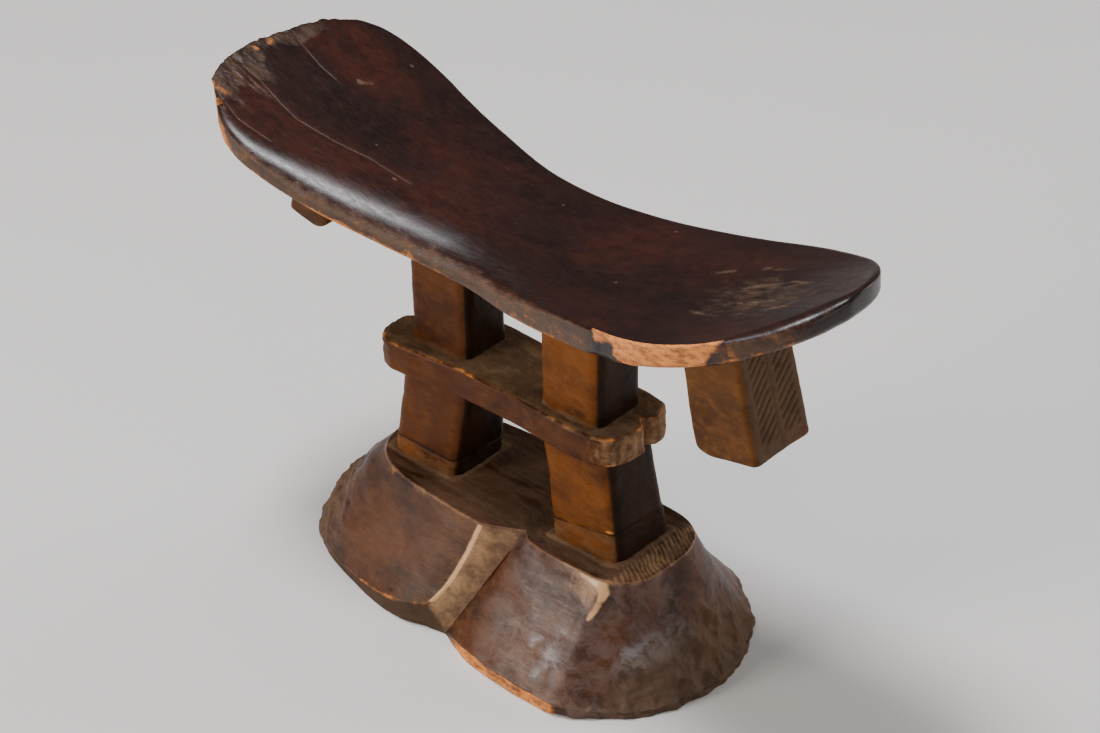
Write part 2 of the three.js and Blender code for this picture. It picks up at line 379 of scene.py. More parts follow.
class Nodes:
    """Short ways to add shader nodes to a material and join them."""

    def __init__(self, name):
        self.material = bpy.data.materials.new(name)
        self.material.use_nodes = True
        self.tree = self.material.node_tree
        self.shader = self.tree.nodes["Principled BSDF"]
        self.place = self.tree.nodes.new("ShaderNodeTexCoord").outputs["Object"]

    def link(self, source, socket):
        if isinstance(source, (int, float)):
            socket.default_value = source
        elif isinstance(source, tuple):
            socket.default_value = (*source, 1)
        else:
            self.tree.links.new(source, socket)

    def mask(self, name):
        node = self.tree.nodes.new("ShaderNodeAttribute")
        node.attribute_name = name
        return node.outputs["Fac"]

    def noise(self, size_mm, detail=4, roughness=0.6, distortion=0):
        """Noise from 0 to 1. size_mm is the width of a lump along X, Y and Z."""
        scale = self.tree.nodes.new("ShaderNodeMapping")
        scale.inputs["Scale"].default_value = [1 / (s * MM) for s in size_mm]
        self.link(self.place, scale.inputs["Vector"])
        node = self.tree.nodes.new("ShaderNodeTexNoise")
        settings = {"Scale": 1, "Detail": detail, "Roughness": roughness, "Distortion": distortion}
        for socket, value in settings.items():
            node.inputs[socket].default_value = value
        self.link(scale.outputs[0], node.inputs["Vector"])
        return node.outputs["Fac"]

    def math(self, operation, *values):
        node = self.tree.nodes.new("ShaderNodeMath")
        node.operation = operation
        for value, socket in zip(values, node.inputs):
            self.link(value, socket)
        return node.outputs[0]

    def ramp(self, value, low, high, start=0.0, end=1.0):
        """start where value is at low or under, end where it is at high or over, and smooth between."""
        node = self.tree.nodes.new("ShaderNodeMapRange")
        node.interpolation_type = "SMOOTHSTEP"
        for socket, number in zip(node.inputs[:5], (value, low, high, start, end)):
            self.link(number, socket)
        return node.outputs[0]

    def mix(self, share, a, b, blend="MIX"):
        node = self.tree.nodes.new("ShaderNodeMix")
        node.data_type = "RGBA"
        node.blend_type = blend
        self.link(share, node.inputs[0])
        self.link(a, node.inputs[6])
        self.link(b, node.inputs[7])
        return node.outputs[2]

    def bump(self, height, depth_mm, under=None):
        node = self.tree.nodes.new("ShaderNodeBump")
        node.inputs["Strength"].default_value = 1
        node.inputs["Distance"].default_value = depth_mm * MM
        self.link(height, node.inputs["Height"])
        if under is not None:
            self.link(under, node.inputs["Normal"])
        return node.outputs[0]


# The mask named crack is the distance in mm from a crack over this, plus a half.
CRACK_REACH = 8.0
# What is left of the colour where the mask of painted shade and darker tone is 1.
DEEPEST_SHADE = 0.12

# Colours that all the members share.
RAW_WOOD = (0.80, 0.285, 0.066)
RAW_WOOD_DARK = (0.28, 0.088, 0.024)
# Pale worn wood, also painted on polished edges and ridges as a highlight.
PALE_WEAR_AND_HIGHLIGHT = (0.66, 0.37, 0.17)
DUST = (0.17, 0.105, 0.063)
# Grey of scuffs, also painted as a grey sheen.
SCUFF_AND_SHEEN = (0.40, 0.40, 0.42)
RED = (0.055, 0.012, 0.006)
PORE = (0.010, 0.005, 0.003)


def patina(n, dark, light, fine, blot):
    """The colour of the old surface, with its grain, pores, red stains, and scuffs that also stand for a
    painted grey sheen.
    """
    broad = n.noise((26, 15, 15), 3)
    pores = n.noise((3.2, 0.22, 0.22), 2)
    colour = n.mix(n.ramp(broad, 0.32, 0.7), dark, light)
    colour = n.mix(n.ramp(blot, 0.42, 0.68, 0, 0.7), colour, light)
    colour = n.mix(n.ramp(fine, 0.35, 0.75, 0, 0.30), colour, dark)
    colour = n.mix(n.ramp(pores, 0.56, 0.72, 0, 0.32), colour, PORE)
    colour = n.mix(n.math("MULTIPLY", n.mask("red"), n.ramp(blot, 0.3, 0.65, 0.25, 0.8)), colour, RED)
    scuff_and_sheen_share = n.math("MULTIPLY", n.mask("scuff_and_sheen"), n.ramp(blot, 0.34, 0.60, 0.05, 1))
    return n.mix(n.math("MULTIPLY", scuff_and_sheen_share, 0.6), colour, SCUFF_AND_SHEEN)


def dust_cover(n, blot, speck):
    """How thick the dust lies, from 0 to 1."""
    streak = n.noise((16, 1.6, 1.6), 5, 0.7)
    settled = n.math("ADD", n.ramp(blot, 0.2, 0.8, -0.16, 0.16), n.ramp(streak, 0.2, 0.8, -0.20, 0.20))
    dusty = n.ramp(n.math("ADD", n.mask("dust"), settled), 0.15, 0.95)
    return n.math("MULTIPLY", dusty, n.ramp(speck, 0.2, 0.6, 0.65, 1))


def crack_line(n):
    """1 along the cracks and 0 beside them."""
    away = n.math("ABSOLUTE", n.math("SUBTRACT", n.mask("crack"), 0.5))
    line = n.ramp(away, 0.34 / CRACK_REACH, 0.08 / CRACK_REACH)
    return n.math("MULTIPLY", line, n.mask("crack_here"))


def wood(name, dark, light, gloss, grain, shine, cracked=False):
    """Old wood, from a dark to a light colour. gloss is its roughness, grain the depth of its relief
    in mm and shine its specular level. Masks on the mesh say where it is red, scuffed or painted with a grey
    sheen, dusty, worn down to raw wood (wear), worn pale or painted with a highlight, cracked, and where it
    is darkened by painted shade, and in a few places by a darker tone."""
    n = Nodes(name)
    fine = n.noise((5, 0.7, 0.7), 5, 0.6, 0.3)
    speck = n.noise((0.8, 0.8, 0.8), 3, 0.7)
    blot = n.noise((5, 4, 4), 6, 0.72, 0.4)
    raw = n.mix(n.ramp(n.noise((4.5, 1.6, 1.6), 6, 0.78), 0.36, 0.60), RAW_WOOD_DARK, RAW_WOOD)
    dusty = dust_cover(n, blot, speck)
    worn = n.ramp(n.math("ADD", n.mask("wear"), n.ramp(blot, 0.2, 0.8, -0.3, 0.3)), 0.35, 0.75)
    pale_wear_and_highlight = n.ramp(n.math("ADD", n.mask("pale_wear_and_highlight"), n.ramp(blot, 0.2, 0.8, -0.2, 0.2)), 0.15, 1.1)

    colour = patina(n, dark, light, fine, blot)
    colour = n.mix(n.math("MULTIPLY", dusty, 0.85), colour, DUST)
    colour = n.mix(worn, colour, raw)
    # Pale wear, and painted highlights on polished edges and ridges.
    colour = n.mix(pale_wear_and_highlight, colour, PALE_WEAR_AND_HIGHLIGHT)
    relief = n.bump(fine, grain)
    if cracked:
        crack = crack_line(n)
        colour = n.mix(n.math("MULTIPLY", crack, 0.22), colour, DUST)
        relief = n.bump(n.math("MULTIPLY", crack, -1.0), 0.04, relief)
    # The mask of painted shade and darker tone multiplies the colour down, as far as DEEPEST_SHADE.
    left_over = n.mix(n.ramp(n.mask("painted_shade_and_dark_tone"), 0, 1, 1, DEEPEST_SHADE), (0, 0, 0), (1, 1, 1))
    n.link(n.mix(1.0, colour, left_over, "MULTIPLY"), n.shader.inputs["Base Color"])

    rough = n.ramp(fine, 0.25, 0.8, gloss - 0.05, gloss + 0.1)
    rough = n.math("ADD", rough, n.math("MULTIPLY", dusty, 0.35))
    rough = n.math("ADD", rough, n.math("MULTIPLY", worn, 0.25))
    rough = n.math("SUBTRACT", rough, n.math("MULTIPLY", pale_wear_and_highlight, 0.12))
    n.link(n.math("MINIMUM", rough, 0.95), n.shader.inputs["Roughness"])
    glint = n.math("MULTIPLY_ADD", dusty, -0.7 * shine, shine)
    n.link(n.math("MULTIPLY_ADD", pale_wear_and_highlight, 0.3, glint), n.shader.inputs["Specular IOR Level"])
    loose = n.math("ADD", n.math("ADD", dusty, worn), 0.10)
    relief = n.bump(n.math("MULTIPLY", speck, loose), 0.16, relief)
    n.link(relief, n.shader.inputs["Normal"])
    return n.material


# ---- saddle ----

LEFT_END = SADDLE_LOW[0]
RIGHT_END = SADDLE_HIGH[0]
DIP_X = 7
DIP_Z = 107
LEFT_RISE = 18.2
RIGHT_RISE = SADDLE_HIGH[2] - DIP_Z
THICK_MIDDLE = 8.5
THICK_END = 6.5

# The saddle's plan, from the right end along the back to the left end, and along the front again.
SADDLE_PLAN = [
    (92.6, 0), (92, 7), (88.5, 14.5), (81, 21.2), (69, 25.6), (57.6, 27.3), (47, 27.1), (37, 26.4), (18, 24),
    (0, 22.2), (-15, 22.6), (-29, 25.1), (-44, 28.1), (-59.5, 31.7), (-73, 33), (-83, 30.8), (-89.3, 24.6),
    (-92.6, 15), (-94.2, 5), (-94.7, -4), (-93.6, -11.5), (-90, -17.2), (-84.2, -22.3), (-76.2, -26.6),
    (-66, -27.7), (-50, -25.8), (-30, -22.2), (-8, -19.7), (12, -22), (32, -24.4), (48, -26.6), (60, -26.4),
    (73, -23.2), (82.7, -17.4), (89, -10.4), (92, -3.6),
]
SADDLE_CRACKS = [
    [(-93, -8.2), (-83, -8.4), (-75, -9.8), (-68, -10.6), (-57, -9.1), (-47, -7), (-34, -6.6)],
    [(-92, 11), (-86, 9.2), (-79, 7.8), (-73, 7.4)],
    [(-87, -19.6), (-82.5, -20.7), (-76, -22.4), (-66, -21.4)],
]
SADDLE_SCRATCHES = [
    [(54, -9.4), (60, -10.4), (69, -8.6), (77, -4.6)],
    [(56, -2), (61, 4.4), (70, 8.2), (79, 6.4)],
    [(-38.2, -7.7), (-36.6, -0.9), (-35.8, 1.8)],
    [(61, -4), (72, -1.5), (80, 2)],
    [(-69.5, 10.5), (-67.5, 14)],
    [(44, 6), (58, 13), (66, 14)],
]
# Dried drops on the saddle, as x, y and radius.
SADDLE_SPOTS = [
    (-69, 12, 1.0), (-66, 27, 0.6), (-50, -2, 0.4), (-3, 13, 0.5), (26, 20, 0.5), (-38, -8, 0.6),
    (30, -6, 0.4),
]
# Where a splinter is gone from the left end.
SPLIT_LINE = [(-98, -25.5), (-80, -21.2)]
# Along the front, the edge is broken off to a flat between these places on X.
FACET_FROM, FACET_TO = 42, 71
# To the left of the flat the edge is widely rounded, and these are the stretches of X where that grows.
ROUND_LEFT = (-92, -36)
ROUND_RIGHT = (40, -14)


def arc_rise(d, reach, rise):
    """Height of an arc at distance d from its level point, when it has risen by rise at distance reach."""
    radius = (reach**2 + rise**2) / (2 * rise)
    return radius - np.sqrt(radius**2 - d**2)


def saddle_top(x):
    left = arc_rise(np.maximum(DIP_X - x, 0), DIP_X - LEFT_END, LEFT_RISE)
    return DIP_Z + left + arc_rise(np.maximum(x - DIP_X, 0), RIGHT_END - DIP_X, RIGHT_RISE)


def saddle_underside(x):
    reach = np.where(x < DIP_X, DIP_X - LEFT_END, RIGHT_END - DIP_X)
    return saddle_top(x) - THICK_MIDDLE + (THICK_MIDDLE - THICK_END) * np.abs(x - DIP_X) / reach


def saddle_zones(x, y):
    """Which columns of points belong to the front, its broken flat, its widely rounded stretch, the right
    tip and the ragged left end, from 0 to 1."""
    front = step(-y, 8, 17)
    return SimpleNamespace(
        front=front,
        facet=front * step(x, FACET_FROM - 5, FACET_FROM) * step(x, FACET_TO + 7, FACET_TO - 3),
        broad=front * step(x, *ROUND_RIGHT) * step(x, *ROUND_LEFT),
        tip=step(x, 70, 84) * step(y, 3, -7),
        left=step(x, -80, -90),
    )


def saddle_blank(outline, zones):
    """The saddle before its marks, and where each of its rings is."""
    x = outline[:, 0]
    thick = saddle_top(x) - saddle_underside(x)
    roll_top = (
        1.8 + 9.3 * zones.broad - 0.9 * zones.facet + 1.6 * zones.left + 2.4 * zones.tip,
        1.0 + (thick - 2.9) * zones.broad - 0.3 * zones.facet + 2.0 * zones.tip,
    )
    roll_bottom = (2.2 + 1.2 * zones.facet, 1.7 + 1.4 * zones.facet - 0.2 * zones.broad)
    return plate(
        outline, np.array([-4.0, 0.0]), lambda q: saddle_top(q[:, 0]), lambda q: saddle_underside(q[:, 0]),
        roll_top, roll_bottom, (46, 165), (8, 18), 0.72,
    )


def ragged_end(p, side, left):
    """How far the sides are pushed outwards: unevenly all round, and ragged and split at the left end."""
    chip = left * (0.8 * layered(p, (9, 2.6, 2.2), 5, 4) - 0.3)
    from_split = np.abs(to_line(p[..., :2], SPLIT_LINE))
    split = 2.4 * step(from_split, 1.0, 0.3) * step(p[..., 0], -76, -84)
    return (chip - split) * side + 0.12 * layered(p, (14, 9, 7), 6)


def raw_patch(p, place):
    """Where the left end has lost its surface, from 0 to 1. It follows the grain."""
    x, y, _ = np.moveaxis(p, 2, 0)
    raw = step(x + 6 * noise(p, (30, 1.8, 3), 13), -76, -87) * step(y, 0, -5)
    raw = np.maximum(raw, step(x + 3 * noise(p, 4, 14), -86, -90.5)) * step(place, -1.1, -0.4)
    return raw * step(y, 24, 17)


def saddle_relief(p, raw, cracks, broken, on_top):
    """How far the saddle's surface is raised: waves, the hollow at the right, lost wood and cracks."""
    x, y, _ = np.moveaxis(p, 2, 0)
    lift = 0.18 * layered(p, (38, 18, 18), 11, 2) + 0.03 * layered(p, (9, 3.5, 3.5), 12)
    lift = lift - 0.45 * step(np.hypot((x - 60) / 26, y / 15), 1.1, 0.2) * on_top
    lift = lift - raw * (0.14 + 0.26 * np.abs(layered(p, (6, 1.3, 1.3), 15)))
    lift = lift + broken * 0.34 * layered(p, (4, 3, 2.4), 16, 4)
    return lift - 0.04 * step(np.abs(cracks), 1.3, 0.1) * on_top


def saddle_wear(blank, p, place, raw, zones, under_roll):
    """Where raw wood shows: on the broken flat, along the lower rim and at the left end."""
    x, y, z = np.moveaxis(blank, 2, 0)
    above_rim = z - saddle_underside(x)
    rim = step(place, -1.0, -0.6) * step(above_rim, 2.8, 1.1)
    fade = 0.65 + 0.5 * layered(p, (9, 5, 3), 17)
    down = saddle_top(x) - z
    end_rim = step(place, -1.0, -0.6) * step(place, 0.6, 0.1) * step(x, -66, -83) * step(y, 14, 0)
    tip_side = step(x, 72, 80) * step(y, 0, -8) * step(place, 0.9, 0.4) * step(place, -1.05, -0.6)
    broken = 1.1 * zones.facet * step(place, 0.99, 0.9) * step(place, -1.05, -0.7)
    broken = broken * step(x - 1.9 * down, FACET_FROM - 4.5, FACET_FROM - 1.5)
    broken = broken * step(x + 0.7 * down, FACET_TO + 6, FACET_TO + 2)
    wear = highest(
        broken,
        (0.34 + 0.30 * zones.front) * rim * fade,
        0.28 * under_roll,
        0.30 * tip_side * step(place, 0.3, -0.3),
        (0.60 + 0.40 * zones.front) * end_rim * fade,
        raw * (0.18 + 0.35 * layered(p, (5, 1.5, 1.5), 18)) * step(y, 16, 4),
    )
    return wear, rim, tip_side


def saddle_masks(blank, p, place, raw, cracks, zones, on_top):
    """The saddle's masks. blank holds its points before the relief and p the ones after it."""
    x, y, _ = np.moveaxis(blank, 2, 0)
    under_roll = zones.front * step(place, 0.85, 0.25) * step(place, -1.05, -0.6) * (1 - zones.facet)
    wear, rim, tip_side = saddle_wear(blank, p, place, raw, zones, under_roll)
    scratches = nearest(blank[..., :2], SADDLE_SCRATCHES)
    rubbed = step(np.abs(scratches), 1.5, 0.2) * on_top * step(layered(p, (5, 5, 5), 22), -0.5, 0.5)
    spots = sum(step(np.hypot((x - a) / 1.6, y - b), r, 0.5 * r) for a, b, r in SADDLE_SPOTS) * on_top * 0.6
    hollow = step(np.hypot((x - 67) / 17, y / 12), 1.2, 0.5) * on_top
    stain = (0.2 + 0.7 * step(layered(p, (40, 16, 20), 20, 2), -0.35, 0.6)) * on_top
    return {
        "wear": wear,
        "dust": highest(rubbed * 0.6, hollow * 0.34, spots, raw * 0.45, 0.54 * under_roll, 0.26 * tip_side),
        "red": highest(stain, 1.2 * under_roll),
        # Painted shade on the underside and under the front roll above the rim; the raw left end is darker
        # in tone.
        "painted_shade_and_dark_tone": highest(0.35 * step(place, -0.7, -1), 0.2 * under_roll * (1 - rim), 0.42 * raw),
        "crack": 0.5 + cracks / CRACK_REACH,
        "crack_here": step(np.abs(cracks), 2.0, 0.8) * on_top,
    }


def add_saddle():
    outline = resample(catmull(SADDLE_PLAN, True), 900, True)
    zones = saddle_zones(*outline.T)
    smooth, place = saddle_blank(outline, zones)
    on_top = step(place, 0.5, 0.98)
    side = step(np.abs(place), 0.97, 0.6)
    blank = smooth.copy()
    blank[..., :2] += outward(outline) * ragged_end(smooth, side, zones.left)[..., None]
    raw = raw_patch(blank, place)
    cracks = nearest(blank[..., :2], SADDLE_CRACKS)
    lift = saddle_relief(blank, raw, cracks, zones.facet * side, on_top)
    p = blank + surface_normals(smooth) * lift[..., None]
    masks = saddle_masks(blank, p, place, raw, cracks, zones, on_top)
    make_piece("saddle_carving", p, masks, SADDLE_WOOD, "saddle")


# ---- slab ----

# The slab's plan, with x from the stand's middle. Each end has a notch between two lobes.
SLAB_PLAN = [
    (37.9, -3), (37.4, 0.2), (35.6, 2.4), (37.7, 5.2), (37, 8.8), (32.5, 11.6), (12, 11.4), (-12, 11.4),
    (-34, 11.6), (-38.9, 7.2), (-38.8, 2.4), (-37.2, 0.2), (-39.4, -3.2), (-38, -10.4),
    (-33, -13.4), (-22, -12.4),
    (-8.6, -11.2), (6, -11.5), (16, -11.9), (26.5, -12.2), (33, -11.4), (36.4, -8.4),
]


SLAB_SIDE_RINGS = 24

# The sections of the posts' feet, as (x0, x1, y0, y1). The posts fill these lists, so they are made before
# the slab and the base, which are dusty round the feet.
UPPER_FEET = []
LOWER_FEET = []


def post_ring(plan, rectangles):
    """How far each point in plan is outside the nearest of some rectangles (x0, x1, y0, y1)."""
    gaps = []
    for x0, x1, y0, y1 in rectangles:
        dx = np.maximum(np.maximum(x0 - plan[..., 0], plan[..., 0] - x1), 0)
        dy = np.maximum(np.maximum(y0 - plan[..., 1], plan[..., 1] - y1), 0)
        gaps.append(np.hypot(dx, dy))
    return np.minimum.reduce(gaps)


def slab_blank():
    """The slab before its marks, and where each of its rings is. Its side has rings of its own."""
    outline = resample(catmull(SLAB_PLAN, True), 640, True) + [STAND_X, 0]
    wavy = 0.25 * layered(np.c_[outline, np.zeros(len(outline))], (9, 9, 9), 31)
    outline = outline + outward(outline) * wavy[:, None]
    p, place = plate(
        outline, np.array([STAND_X, 0.0]), lambda q: np.full(len(q), SLAB_TOP),
        lambda q: np.full(len(q), SLAB_BOTTOM), (1.7, 1.3), (1.6, 1.4), (30, 80), (7, 9),
    )
    first = int(np.argmax(place[:, 0] > 0)) - 1
    t = np.linspace(0, 1, SLAB_SIDE_RINGS + 2)[1:-1, None, None]
    side = p[first] * (1 - t) + p[first + 1] * t
    p = np.concatenate([p[: first + 1], side, p[first + 1 :]])
    place = np.concatenate([place[: first + 1], np.zeros((SLAB_SIDE_RINGS, 1)), place[first + 1 :]])
    return p, place


def slab_masks(blank, p, place, end):
    """The slab's masks. blank holds its points before the relief and p the ones after it."""
    y = blank[..., 1]
    sx = blank[..., 0] - STAND_X
    over = step(place, 0.7, 1)
    corner = step(post_ring(p[..., :2], UPPER_FEET), 3.5, 0.3) * over
    edge = step(place, 0.2, 0.6) * step(place, 1.0, 0.85)
    wear = 0.47 * edge + 0.35 * step(place, -0.9, -0.5) * step(place, 0, -0.4)
    wear = wear + end * 0.2 + 0.25 * step(layered(p, (12, 6, 3), 35), 0.5, 0.9) * (1 - over)
    return {
        "wear": wear * (0.75 + 0.45 * layered(p, (8, 5, 4), 36)),
        "dust": highest(0.82 * over, 0.95 * corner, 0.60 * end, 0.1 * step(np.abs(place), 0.9, 0.5)),
        "red": 0.6 * (1 - over) * step(layered(p, (15, 8, 8), 37), -0.3, 0.6) * step(sx, 20, -20),
        # A painted highlight along the front top edge and painted light over the top; pale streaks on the
        # right end.
        "pale_wear_and_highlight": highest(
            0.34 * edge * step(y, -6, -10) * step(layered(p, (9, 5, 5), 38), -0.6, 0.4),
            0.34 * step(sx, 26, 35) * step(place, 0.98, 0.8) * (0.9 + 0.5 * layered(p, (1.4, 1.4, 7), 39)),
            0.26 * over,
        ),
        # Painted shade on the underside.
        "painted_shade_and_dark_tone": 0.35 * step(place, -0.8, -1),
    }


def add_slab():
    blank, place = slab_blank()
    end = step(np.abs(blank[..., 0] - STAND_X), 32, 37.5) * step(np.abs(place), 0.98, 0.7)
    lift = 0.22 * layered(blank, (16, 10, 7), 32) + 0.05 * layered(blank, 3, 33)
    lift = lift + end * (0.30 * layered(blank, (3, 2.2, 1.6), 34) - 0.1)
    p = blank + surface_normals(blank) * lift[..., None]
    masks = slab_masks(blank, p, place, end)
    make_piece("slab_carving", p, masks, SLAB_WOOD, "middle_slab")


# ---- posts and lugs ----


def fillet(height, radius):
    """How far a face has curved outwards at a height above the surface it grows from."""
    h = np.clip(height, 0, radius)
    return radius - np.sqrt(radius**2 - (radius - h) ** 2)


def column(origin, lean, foot, top, ceiling, fillets, corner, rings=110):
    """A post or lug. origin is its lower corner, lean its slope from the vertical in the X-Z plane. foot and
    top are the (x0, x1, y0, y1) of its section, and ceiling(x) is the height of what it grows from above.
    Also returns the heights along it, from 0 at the foot to the length of each column of points."""
    across = np.array([cos(lean), 0, sin(lean)])
    along = np.array([-sin(lean), 0, cos(lean)])
    depth = np.array([0, 1.0, 0])
    mid = rounded_rectangle(*foot, corner)
    start = origin + mid[:, :1] * across + mid[:, 1:] * depth
    # Each column of points grows until its end is at the ceiling.
    length = np.full(len(mid), 30.0)
    for _ in range(12):
        tip = start + length[:, None] * along
        length = length + (ceiling(tip[:, 0]) - tip[:, 2]) / cos(lean)
    surface, heights = [], []
    for t in 0.5 - 0.5 * np.cos(np.linspace(0, pi, rings)):
        t = 0.35 * t + 0.65 * len(surface) / (rings - 1)
        h = t * length
        grow = fillet(h, fillets[0]) + fillet(length - h, fillets[1])
        sides = [(1 - t) * a + t * b for a, b in zip(foot, top)]
        ring = rounded_rectangle(*sides, corner)
        ring = ring + outward(ring) * grow[:, None]
        surface.append(origin + ring[:, :1] * across + ring[:, 1:] * depth + h[:, None] * along)
        heights.append(h)
    return np.array(surface), np.array(heights), length


def side_masks(p):
    """1 on faces that look to the front, the painted shade of the faces to the right and left, and the
    normals.
    """
    n = surface_normals(p)
    painted_side_shade = highest(0.92 * step(n[..., 0], 0.5, 0.8), 0.5 * step(-n[..., 0], 0.5, 0.8))
    return step(-n[..., 1], 0.5, 0.8), painted_side_shade, n


def add_upper_post(side, name, node):
    low, high = box_mm(node)
    lean_in = 0.3 * side
    front = low[1] - (1.0 if side > 0 else 0)
    low_x, high_x = low[0] - 0.15, high[0] + 0.15
    foot = (low_x, high_x, front, high[1])
    top = (low_x + lean_in, high_x + lean_in, front + 0.6, high[1] - 0.5)
    UPPER_FEET.append(foot)
    origin = np.array([0, 0, SLAB_TOP - 0.3])
    p, h, length = column(origin, 0, foot, top, lambda x: saddle_underside(x) + 0.6, (0.7, 1.4), 3.0)
    front_face, painted_side_shade, n = side_masks(p)
    seed = 50 + side
    lift = 0.25 * layered(p, (9, 9, 12), seed) + 0.06 * layered(p, 2.5, seed + 4)
    fibres = step(layered(p, (1.2, 0.7, 22), seed + 8), 0.25, 0.8) * step(n[..., 0] * -side, 0.5, 0.9)
    p = p + n * (lift + 0.12 * fibres)[..., None]
    near_foot = step(h, 2.6, 0.4)
    near_top = step(length - h, 5.0, 1.0)
    corner = step(np.abs(n[..., :2]).max(-1), 0.95, 0.75)
    ragged = 0.75 + 0.6 * layered(p, 4, seed + 12)
    masks = {
        "wear": 0.14 * corner + 0.10 * front_face,
        "dust": highest(0.80 * near_foot * ragged, 0.4 * near_top, 0.5 * fibres, 0.15 + 0 * h),
        "red": 0.4 * front_face * (side < 0),
        # Painted shade on the side faces and under the saddle at the top; the left post is darker all over.
        "painted_shade_and_dark_tone": highest(painted_side_shade, 0.35 * near_top, 0.42 * (side < 0)),
    }
    make_piece(name, p, masks, POST_WOOD, node)


def add_lower_post(side, name, node):
    low, high = box_mm(node)
    foot_x = sorted((STAND_X + side * 16.4, STAND_X + side * 38.6))
    top_x = sorted((STAND_X + side * 11.9, STAND_X + side * 34.3))
    front = low[1] - (1.0 if side > 0 else 0.2)
    foot = (*foot_x, front, high[1])
    top = (*top_x, front + 1.5, high[1] - 1.3)
    LOWER_FEET.append(foot)
    origin = np.array([0, 0, PLATFORM_TOP - 0.3])
    p, h, length = column(
        origin, 0, foot, top, lambda x: np.full(np.shape(x), SLAB_BOTTOM + 0.4), (0.9, 0.9), 3.2,
    )
    front_face, painted_side_shade, n = side_masks(p)
    seed = 60 + side
    lift = 0.25 * layered(p, (9, 9, 12), seed) + 0.06 * layered(p, 2.5, seed + 4)
    # A saw line runs round the foot, and the wood below it was left rough.
    x = p[..., 0]
    line = 5.4 + 0.17 * (x - foot[0]) * (side > 0) + 0.35 * layered(p, 6, seed + 5)
    below = step(h, line + 0.2, line - 0.4)
    cut = step(np.abs(h - line), 0.55, 0.1) * highest(front_face, painted_side_shade)
    cut = cut * step(layered(p, (7, 7, 9), seed + 9), -0.8, 0.1)
    lift = lift + below * (0.06 + 0.16 * layered(p, (5, 5, 1.5), seed + 6)) - 0.3 * cut
    p = p + n * lift[..., None]
    near_foot = step(h, 2.4, 0.3)
    near_top = step(length - h, 3.0, 0.6)
    ragged = 0.75 + 0.6 * layered(p, 4, seed + 12)
    nick = step(np.abs(h - line - 0.7), 0.7, 0.2) * front_face
    nick = nick * step(layered(p, (4, 4, 8), seed + 7), 0.2, 0.6)
    masks = {
        "wear": 0.12 * front_face + 0.35 * nick,
        "dust": highest(0.80 * near_foot * ragged, 0.3 * near_top, 0.42 * below, 0.12 + 0 * h),
        "red": 0.75 * front_face * (side < 0) * (1 - below),
        # Painted shade on the side faces and in the saw line; the left post is darker above the saw line.
        "painted_shade_and_dark_tone": highest(painted_side_shade, 0.8 * cut, 0.36 * (side < 0) * (1 - below)),
    }
    make_piece(name, p, masks, POST_WOOD, node)


LUG_SPLAY = radians(12.5)
LUG_ACROSS = np.array([cos(LUG_SPLAY), 0, sin(LUG_SPLAY)])
LUG_ALONG = np.array([-sin(LUG_SPLAY), 0, cos(LUG_SPLAY)])
LUG_ROUND = 1.1
GROOVE_PITCH = 2.3


def lug_blank(side, origin, width, depth):
    """A lug before its marks, the height of its points along it and the length of its columns."""
    foot = (0, width, -depth / 2, depth / 2)
    top = (0.3, width - 0.5, 0.5 - depth / 2, depth / 2 - 0.5)
    p, h, length = column(
        origin, LUG_SPLAY, foot, top, lambda x: saddle_underside(side * x) + 0.8, (0, 1.2), 1.7,
    )
    # The lower edges are rounded, the inner one most of all.
    drop = 2.6 * np.clip(1 - (p - origin) @ LUG_ACROSS / 5, 0, 1) ** 2
    p = p + LUG_ALONG * (drop * step(h, 12, 0))[..., None]
    middle = p[0].mean(0)
    end = [middle + k * (p[0] - middle) for k in np.linspace(0.03, 0.9, 22)]
    for a in np.linspace(0.15, 1.35, 5):
        inset = LUG_ROUND * (1 - sin(a)) / np.linalg.norm(p[0] - middle, axis=1)
        end.append(p[0] + (middle - p[0]) * inset[:, None] + LUG_ALONG * LUG_ROUND * (1 - cos(a)))
    above = h[:, 0] > LUG_ROUND + 0.1
    p = np.concatenate([np.array(end), p[above]])
    h = np.concatenate([np.zeros((len(end), p.shape[1])), h[above]])
    return p, h, length


def lug_grooves(y, h, depth):
    """Two columns of short slanting cuts, with an upright line between them."""
    total = 0 * h
    for centre in (-0.19 * depth, 0.21 * depth):
        across = y - centre
        wave = (h - 0.75 * across - 3.0) / GROOVE_PITCH
        cut = step(np.abs(wave - np.round(wave)), 0.24, 0.06)
        inside = step(np.abs(across), 0.165 * depth, 0.12 * depth)
        total = np.maximum(total, cut * inside)
    total = total * step(h, 3.5, 5) * step(h, 29, 27.5)
    upright = step(np.abs(y + 0.3), 0.7, 0.2) * step(h, 2, 3.5)
    return np.maximum(total, 0.3 * upright)


def add_lug(side, name, node, x, foot_z, width, depth):
    """x is the inner lower corner. The left lug is made as a right one and turned round."""
    p, h, length = lug_blank(side, np.array([x, 0, foot_z]), width, depth)
    n = surface_normals(p)
    outer = step(n @ LUG_ACROSS, 0.75, 0.95)
    front_face = step(-n[..., 1], 0.5, 0.85)
    underneath = step(-(n @ LUG_ALONG), 0.5, 0.9)
    seed = 70 + side
    lift = 0.22 * layered(p, (9, 9, 12), seed) + 0.05 * layered(p, 2.5, seed + 3)
    grooves = lug_grooves(p[..., 1], h, depth) * outer * (side > 0)
    p = p + n * (lift - 0.22 * grooves)[..., None]
    near_top = step(length - h, 3.5, 0.8)
    masks = {
        "wear": 0.10 * front_face + 0.22 * step(h, 5, 0) * (1 - underneath),
        "dust": highest(0.5 * near_top, 0.62 * outer, 0.15 + 0 * h, 0.7 * grooves),
        "scuff_and_sheen": 0.18 * outer,
        # Painted shade on the outer face, in the grooves and underneath; the left lug is darker all over.
        "painted_shade_and_dark_tone": 0.44 * outer + 0.25 * grooves + 0.3 * underneath + 0.46 * (side < 0),
    }
    if side < 0:
        p = p * [-1, -1, 1]
    make_piece(name, p, masks, LUG_WOOD, node)


# ---- base ----

